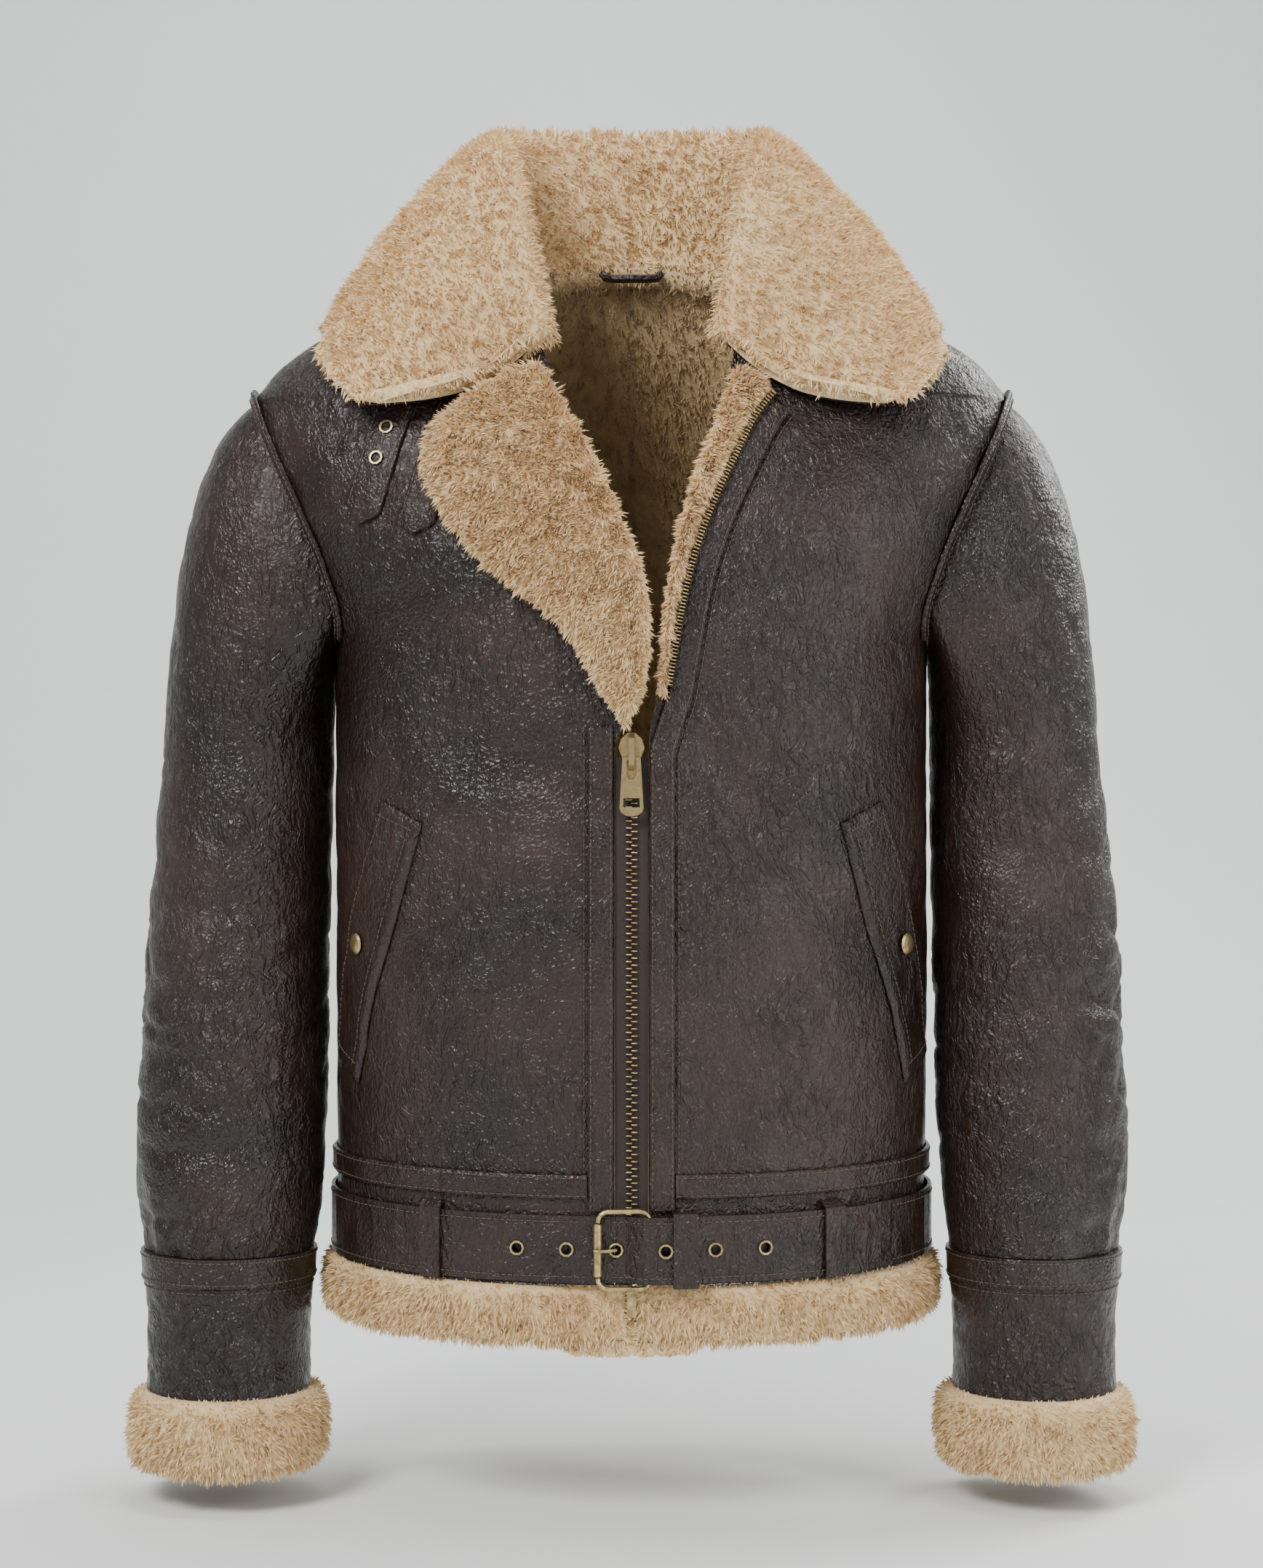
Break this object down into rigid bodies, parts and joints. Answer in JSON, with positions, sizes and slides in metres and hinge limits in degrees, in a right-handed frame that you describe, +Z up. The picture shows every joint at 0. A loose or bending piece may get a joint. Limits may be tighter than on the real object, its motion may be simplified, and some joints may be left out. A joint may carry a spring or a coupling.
{
  "type": "sheepskin flying jacket",
  "caption": "Filled-out sheepskin flying jacket with open lapels, wide fleece collar, slanted pockets, belted fleece hem, fleece cuffs and a hanging zip pull.",
  "frame": {"origin": "middle of the body at the height where the neck meets the shoulders, where a wearer's shoulders hold the jacket", "axes": "+Z up along the body, -Y to the front, +X to the wearer's left"},
  "size_m": [0.637, 0.2928, 0.8752],
  "materials": {
    "leather": "glossy, creased dark brown",
    "leather_trim": "glossy dark brown",
    "fleece": "tan sheepskin fleece",
    "brass": "aged",
    "tape": "dark brown twill"
  },
  "bodies": {
    "jacket": {"armhole_welt_left": "leather_trim", "armhole_welt_right": "leather_trim", "back_left": "leather", "back_right": "leather", "belt": "leather_trim", "belt_eyelet_1": "brass", "belt_eyelet_2": "brass", "belt_eyelet_3": "brass", "belt_eyelet_4": "brass", "belt_eyelet_5": "brass", "belt_eyelet_6": "brass", "belt_keeper": "leather_trim", "belt_loop_back_left": "leather_trim", "belt_loop_back_right": "leather_trim", "belt_loop_front_left": "leather_trim", "belt_loop_front_right": "leather_trim", "buckle_frame": "brass", "buckle_prong": "brass", "buckle_roller": "brass", "collar": "fleece", "collar_strap_inner": "leather_trim", "collar_strap_outer": "leather_trim", "cuff_fleece_left": "fleece", "cuff_fleece_right": "fleece", "cuff_left": "leather", "cuff_right": "leather", "front_left": "leather", "front_right": "leather", "hanger_loop": "leather_trim", "hem_fleece_left": "fleece", "hem_fleece_right": "fleece", "lapel_left": "fleece", "lapel_right": "fleece", "pocket_flap_left": "leather_trim", "pocket_flap_right": "leather_trim", "sleeve_band_left": "leather_trim", "sleeve_band_right": "leather_trim", "sleeve_left": "leather", "sleeve_right": "leather", "snap_left": "brass", "snap_right": "brass", "strap_eyelet_1": "brass", "strap_eyelet_2": "brass", "waist_welt_back": "leather_trim", "waist_welt_left": "leather_trim", "waist_welt_right": "leather_trim", "zip_box": "brass", "zip_chain": "brass", "zip_edge_left": "brass", "zip_edge_right": "brass", "zip_slider": "brass", "zip_strip_left": "leather_trim", "zip_strip_right": "leather_trim", "zip_tape": "tape"},
    "pull_tab": {"zip_pull": "brass"}
  },
  "joints": [
    {"name": "pull_hinge", "type": "hinge", "parent": "jacket", "child": "pull_tab", "pos_m": [0, -0.14222, -0.305], "axis": [-1, 0, 0], "range_deg": [0, 110]}
  ]
}
